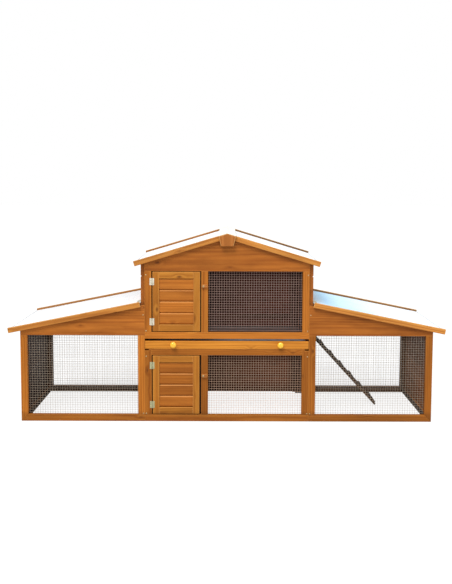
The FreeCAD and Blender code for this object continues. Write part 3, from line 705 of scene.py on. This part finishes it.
barges = {"finish": bargePine, "round": 0.0016, "shadeInside": True, "nodes": (
    "main_barge_boards", "left_lid_barges", "right_lid_barges")}
for node in barges["nodes"]:
    dressTimber(node, barges)

keystones = {"finish": keystonePine, "round": 0.003, "along": (0, 0, 1)}
dressTimber("keystone_plates", keystones)

doorFrames = {"finish": doorPine, "round": 0.0022, "tones": (0.3, 0.55), "nodes": (
    "upper_door_frame", "lower_door_frame")}
for node in doorFrames["nodes"]:
    dressTimber(node, doorFrames)

doorBoards = {"finish": slatPine, "round": 0.0006, "groove": 0.0055, "facing": (0, -1, 0),
              "tones": (0.1, 0.5), "nodes": ("upper_door_boards", "lower_door_boards")}
for node in doorBoards["nodes"]:
    dressTimber(node, doorBoards)

wallBoards = {"round": 0.0006, "groove": 0.004, "shadeInside": True, "nodes": (
    ("back_boards", housePine, (0, 1, 0)), ("left_end_boards", wallPine, (-1, 0, 0)),
    ("right_end_boards", wallPine, (1, 0, 0)))}
for node, finish, facing in wallBoards["nodes"]:
    dressTimber(node, {**wallBoards, "finish": finish, "facing": facing})

trayBoard = {"finish": trayPine, "round": 0.0018}
dressTimber("tray_front_board", trayBoard)

decks = {"finish": deckPine, "round": 0.0006, "along": (0, 1, 0), "nodes": (
    "main_roof_decks", "left_lid_deck", "right_lid_deck")}
for node in decks["nodes"]:
    dressTimber(node, decks)

rampTimber = {"finish": rampPine, "round": 0.0016, "nodes": ("ramp_board", "ramp_cleats")}
for node in rampTimber["nodes"]:
    dressTimber(node, rampTimber)
print("timber ready")

# side walls of grooved boards, with the ramp's doorway left open in the right one
sideBoards = {
    "finish": housePine, "pitch": 0.064, "gap": 0.0006, "groove": 0.004, "round": 0.0006, "shadeInside": True,
    "along": (0, 1, 0), "nearJoint": 0.002,
    "walls": {  # the side that faces out, and the doorway's front, back, bottom and top
        "left_side_wall": ((-1, 0, 0), None),
        "right_side_wall": ((1, 0, 0), (0.001, 0.171, 0.398, 0.543)),
    },
}


def boardBox(low, high):
    block = bmesh.new()
    bmesh.ops.create_cube(block, size=1.0)
    bmesh.ops.scale(block, vec=high - low, verts=block.verts)
    bmesh.ops.translate(block, vec=(low + high) / 2, verts=block.verts)
    return block


def aroundDoorway(front, back, bottom, top, doorway):
    if not doorway or bottom >= doorway[3] or top <= doorway[2]:
        return [(front, back, bottom, top)]
    doorFront, doorBack, sill, head = doorway
    parts = [(front, doorFront, bottom, top), (doorBack, back, bottom, top)]
    if bottom < sill:
        parts.append((doorFront, doorBack, bottom, sill))
    if top > head:
        parts.append((doorFront, doorBack, head, top))
    return parts


def buildSideWall(node, facing, doorway, look):
    low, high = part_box(node)
    count = round((high.z - low.z) / look["pitch"])
    levels = [low.z + (high.z - low.z) * index / count for index in range(count + 1)]
    boards = []
    for index in range(count):
        parts = aroundDoorway(low.y, high.y, levels[index], levels[index + 1] - look["gap"], doorway)
        for part, (front, back, bottom, top) in enumerate(parts):
            board = boardBox(Vector((low.x, front, bottom)), Vector((high.x, back, top)))
            axes = boardAxes(board, look["along"])
            lip = [edge for edge in lipEdges(board, facing, axes[0])
                   if min(abs(edge.verts[0].co.z - level) for level in levels) < look["nearJoint"]]
            ease(board, lip, min(look["groove"], (top - bottom) / 3), 1)
            ease(board, sharpEdges(board), look["round"])
            growGrain(board, axes, random.Random(f"{node} {index} {part}"), look)
            boards.append(board)
    finishPiece(node + "Boards", joined(boards), look["finish"], bodyOf[node], slotOf[node], node)


for node, (facing, doorway) in sideBoards["walls"].items():
    buildSideWall(node, facing, doorway, sideBoards)
print("side walls ready")

# roofing sheets with a hem folded down over the eave
roofing = {"round": 0.0006, "hem": 0.0011, "hemDrop": 0.006, "fold": 0.004, "sheets": {
    "main_roof_felts": whiteFelt, "left_lid_felt": whiteFelt, "right_lid_felt": shadedBlueFelt}}


def layFelt(node, finish, look):
    sheets = []
    for solid in solidsOf(node):
        side = 1 if middleOf(solid.verts).x > 0 else -1
        eave = max(solid.faces, key=lambda face: face.normal.x * side)
        underside = min(solid.faces, key=lambda face: face.normal.z).normal.copy()
        lip = bmesh.ops.extrude_discrete_faces(solid, faces=[eave])["faces"][0]
        bmesh.ops.translate(solid, vec=lip.normal * look["hem"], verts=lip.verts[:])
        flap = min(solid.faces, key=lambda face: (face.normal - underside).length + face.calc_area())
        drop = bmesh.ops.extrude_discrete_faces(solid, faces=[flap])["faces"][0]
        bmesh.ops.translate(solid, vec=underside * look["hemDrop"], verts=drop.verts[:])
        ease(solid, sharpEdges(solid), look["round"])
        slope = Vector((-underside.z * side, 0, underside.x * side))  # down the roof
        reach = max(vert.co.dot(slope) for vert in solid.verts) - look["fold"]
        bmesh.ops.bisect_plane(solid, geom=solid.verts[:] + solid.edges[:] + solid.faces[:],
                               plane_co=slope * reach, plane_no=slope)
        # the faces past the fold get the painted shade line
        fold = solid.faces.layers.float.new("fold")
        for face in solid.faces:
            face[fold] = 1.0 if face.calc_center_median().dot(slope) > reach else 0.0
        sheets.append(solid)
    finishPiece(node + "Sheet", joined(sheets), finish, bodyOf[node], slotOf[node], node)


for node, finish in roofing["sheets"].items():
    layFelt(node, finish, roofing)

capFold = {"round": 0.0009}
for solid in solidsOf("ridge_cap"):
    ease(solid, sharpEdges(solid), capFold["round"])
    finishPiece("ridgeCapFold", joined([solid]), creamCap, bodyOf["ridge_cap"], slotOf["ridge_cap"],
                "ridge_cap")
print("roofing ready")

# welded wire mesh: upright wires in front, level wires welded behind them
wireMesh = {"pitch": 0.01205, "radius": 0.00058, "sides": 6, "behind": 1.6, "smooth": 70}  # behind in radii
windowMesh = {**wireMesh, "finish": meshZinc}
lowMesh = {**wireMesh, "finish": lowZinc}
runMesh = {**wireMesh, "radius": 0.00052, "finish": runZinc}
backMesh = {**wireMesh, "radius": 0.0004, "finish": fineZinc}  # finer wire behind the runs
meshes = {
    "lower_window_mesh": lowMesh, "upper_window_mesh": windowMesh, "left_run_front_mesh": runMesh,
    "right_run_front_mesh": runMesh, "left_run_back_mesh": backMesh, "right_run_back_mesh": backMesh,
}


def layWire(form, look, length, matrix):
    bmesh.ops.create_cone(form, cap_ends=True, segments=look["sides"], radius1=look["radius"],
                          radius2=look["radius"], depth=length, matrix=matrix)


def weldMesh(node, look):
    low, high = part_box(node)
    radius, form = look["radius"], bmesh.new()
    front = low.y if low.y < 0 else high.y - (2 + look["behind"]) * radius
    columns = round((high.x - low.x) / look["pitch"])
    lines = round((high.z - low.z) / look["pitch"])
    middle = (low + high) / 2
    level = Matrix.Rotation(math.pi / 2, 4, "Y")
    for index in range(columns + 1):
        x = low.x + radius + (high.x - low.x - 2 * radius) * index / columns
        layWire(form, look, high.z - low.z, Matrix.Translation((x, front + radius, middle.z)))
    for index in range(lines + 1):
        z = low.z + radius + (high.z - low.z - 2 * radius) * index / lines
        place = (middle.x, front + (1 + look["behind"]) * radius, z)
        layWire(form, look, high.x - low.x, Matrix.Translation(place) @ level)
    finishPiece(node + "Wires", form, look["finish"], bodyOf[node], slotOf[node], node, smooth=look["smooth"])


for node, look in meshes.items():
    weldMesh(node, look)
print("wire mesh ready")

# pull-out tray: folded pan and turned knobs
panSheet = {"round": 0.0004}
for solid in solidsOf("tray_pan"):
    ease(solid, sharpEdges(solid), panSheet["round"])
    finishPiece("trayPanSheet", joined([solid]), panZinc, "tray", "tray_metal", "tray_pan")

frontFace = -0.235  # the front frame's face, metres
knob = {
    "profile": (  # radius and rise
        (0.0, 0.0), (0.0082, 0.0), (0.0076, 0.003), (0.0068, 0.007), (0.0072, 0.0095), (0.0105, 0.0112),
        (0.0136, 0.0130), (0.0149, 0.0152), (0.0142, 0.0176), (0.0118, 0.0199), (0.0080, 0.0213),
        (0.0040, 0.0219), (0.0, 0.0220),
    ),
    "steps": 40,
    "smooth": 60,
    "places": ((-0.258, frontFace, 0.380), (0.258, frontFace, 0.380)),
}


def turned(profile, steps):
    form = bmesh.new()
    points = [form.verts.new((radius, -rise, 0)) for radius, rise in profile]
    rim = [form.edges.new(pair) for pair in zip(points, points[1:])]
    bmesh.ops.spin(form, geom=points + rim, cent=(0, 0, 0), axis=(0, 1, 0), angle=2 * math.pi, steps=steps,
                   use_merge=True)
    bmesh.ops.remove_doubles(form, verts=form.verts, dist=1e-6)
    bmesh.ops.recalc_face_normals(form, faces=form.faces)
    return form


knobs = []
for place in knob["places"]:
    form = turned(knob["profile"], knob["steps"])
    bmesh.ops.translate(form, vec=place, verts=form.verts)
    knobs.append(form)
finishPiece("trayKnobsTurned", joined(knobs), yellowLacquer, "tray", "yellow_knob", "tray_knobs",
            smooth=knob["smooth"])
print("tray ready")

# hinges keep their solids, and the plates and pins get a zinc finish
for node in frame["nodes"]:
    if slotOf[node] == "hinge_metal":
        frame["nodes"][node].data.materials.clear()
        frame["nodes"][node].data.materials.append(hingeZinc)

# screw heads with a cross recess, facing away from what they hold
screwShape = {
    "cells": 5, "dome": 0.75, "crossWidth": 0.1, "crossReach": 0.62, "crossDepth": 0.7, "turn": 1.5,
    "smooth": 40,
}


def newVerts(made):
    return [part for part in made["geom"] if isinstance(part, bmesh.types.BMVert)]


def screwHead(radius, rise, look):
    form = bmesh.new()
    bmesh.ops.create_grid(form, x_segments=look["cells"], y_segments=look["cells"], size=1.0)
    for vert in form.verts:  # the square grid becomes a round dome
        vert.co = vert.co.normalized() * max(abs(vert.co.x), abs(vert.co.y)) * radius
        vert.co.z = rise * (1 - look["dome"] * (vert.co.length / radius) ** 2)
    cross = []
    for face in form.faces:
        spot = face.calc_center_median()
        onArm = min(abs(spot.x), abs(spot.y)) < radius * look["crossWidth"]
        if onArm and spot.to_2d().length < radius * look["crossReach"]:
            cross.append(face)
    pit = bmesh.ops.extrude_face_region(form, geom=cross)
    bmesh.ops.translate(form, vec=(0, 0, -rise * look["crossDepth"]), verts=newVerts(pit))
    bmesh.ops.delete(form, geom=cross, context="FACES_ONLY")
    skirt = bmesh.ops.extrude_edge_only(form, edges=[edge for edge in form.edges if edge.is_boundary])
    for vert in newVerts(skirt):
        vert.co.z = 0
    bmesh.ops.holes_fill(form, edges=[edge for edge in form.edges if edge.is_boundary])
    bmesh.ops.recalc_face_normals(form, faces=form.faces)
    return form


def driveScrews(name, spots, radius, rise, finish, body, slot, *nodes):
    heads = []
    for index, (place, way) in enumerate(spots):
        head = screwHead(radius, rise, screwShape)
        turn = Vector((0, 0, 1)).rotation_difference(Vector(way)).to_matrix().to_4x4()
        spin = Matrix.Rotation(random.Random(f"{name} {index}").uniform(0, screwShape["turn"]), 4, "Z")
        bmesh.ops.transform(head, matrix=Matrix.Translation(place) @ turn @ spin, verts=head.verts)
        heads.append(head)
    finishPiece(name, joined(heads), finish, body, slot, *nodes, smooth=screwShape["smooth"])


frameScrews = {"radius": 0.0031, "rise": 0.0014}
spots = []
for solid in solidsOf("frame_screws"):
    middle = middleOf(solid.verts)
    spots.append(((middle.x, frontFace, middle.z), (0, -1, 0)))
    solid.free()
driveScrews("frameScrewHeads", spots, frameScrews["radius"], frameScrews["rise"], screwZinc, "house",
            "screw_metal", "frame_screws")

hingeScrews = {"radius": 0.0023, "rise": 0.0008, "inset": 0.4, "shortLeaf": 0.04, "shortCount": 2, "counts": {
    "hinge_frame_leaves": 3, "left_lid_hinge_leaves": 3, "right_lid_hinge_leaves": 3, "ramp_hinge_leaves": 3,
    "upper_door_hinge_leaves": 2, "lower_door_hinge_leaves": 2}}


def leafScrews(leaf, count, look):
    middle = middleOf(leaf.verts)
    plates = sorted(leaf.faces, key=lambda face: -face.calc_area())[:2]
    top = max(plates, key=lambda face: (middle - face.calc_center_median()).dot(face.normal))
    rim = max(top.edges, key=lambda edge: edge.calc_length())  # the plate's free edge
    length = rim.calc_length()
    along = (rim.verts[1].co - rim.verts[0].co) / length
    start = (rim.verts[0].co + rim.verts[1].co) / 2
    inward = top.calc_center_median_weighted() - start
    inward = inward - along * inward.dot(along)
    count = look["shortCount"] if length < look["shortLeaf"] else count
    row = start + inward * 2 * look["inset"]
    shares = [(index + 0.5) / count - 0.5 for index in range(count)]
    return [(row + along * length * share, top.normal.copy()) for share in shares]


for node, count in hingeScrews["counts"].items():
    spots = []
    for leaf in solidsOf(node):
        spots += leafScrews(leaf, count, hingeScrews)
        leaf.free()
    driveScrews(node + "Screws", spots, hingeScrews["radius"], hingeScrews["rise"], hingeZinc, bodyOf[node],
                "hinge_metal")

# turn buttons, rounded, on a pivot screw
button = {
    "corner": 0.006, "cornerSteps": 5, "round": 0.0018, "roundSteps": 3, "least": 60,
    "headRise": 0.002, "headRadius": 0.005, "headSlice": 0.001,
}
for tier in ("upper", "lower"):
    node = tier + "_turn_button"
    form = boardBox(*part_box(node))
    axes = boardAxes(form, (1, 0, 0))
    corners = [edge for edge in form.edges if abs(wayOf(edge).y) > sameWay]
    ease(form, corners, button["corner"], button["cornerSteps"])
    rim = [edge for edge in sharpEdges(form, button["least"]) if onFace(edge, (0, -1, 0))]
    ease(form, rim, button["round"], button["roundSteps"])
    growGrain(form, axes, random.Random(node), button)
    finishPiece(tier + "ButtonTurned", joined([form]), buttonWood, bodyOf[node], slotOf[node], node)
pivots = []
for solid in solidsOf("turn_button_screws"):
    lowest = min(vert.co.y for vert in solid.verts)
    middle = middleOf([vert for vert in solid.verts if vert.co.y < lowest + button["headSlice"]])
    pivots.append(((middle.x, lowest + button["headRise"], middle.z), (0, -1, 0)))
    solid.free()
driveScrews("buttonPivotScrews", pivots, button["headRadius"], button["headRise"], screwZinc, "house",
            "screw_metal", "turn_button_screws")
print("screws and buttons ready")
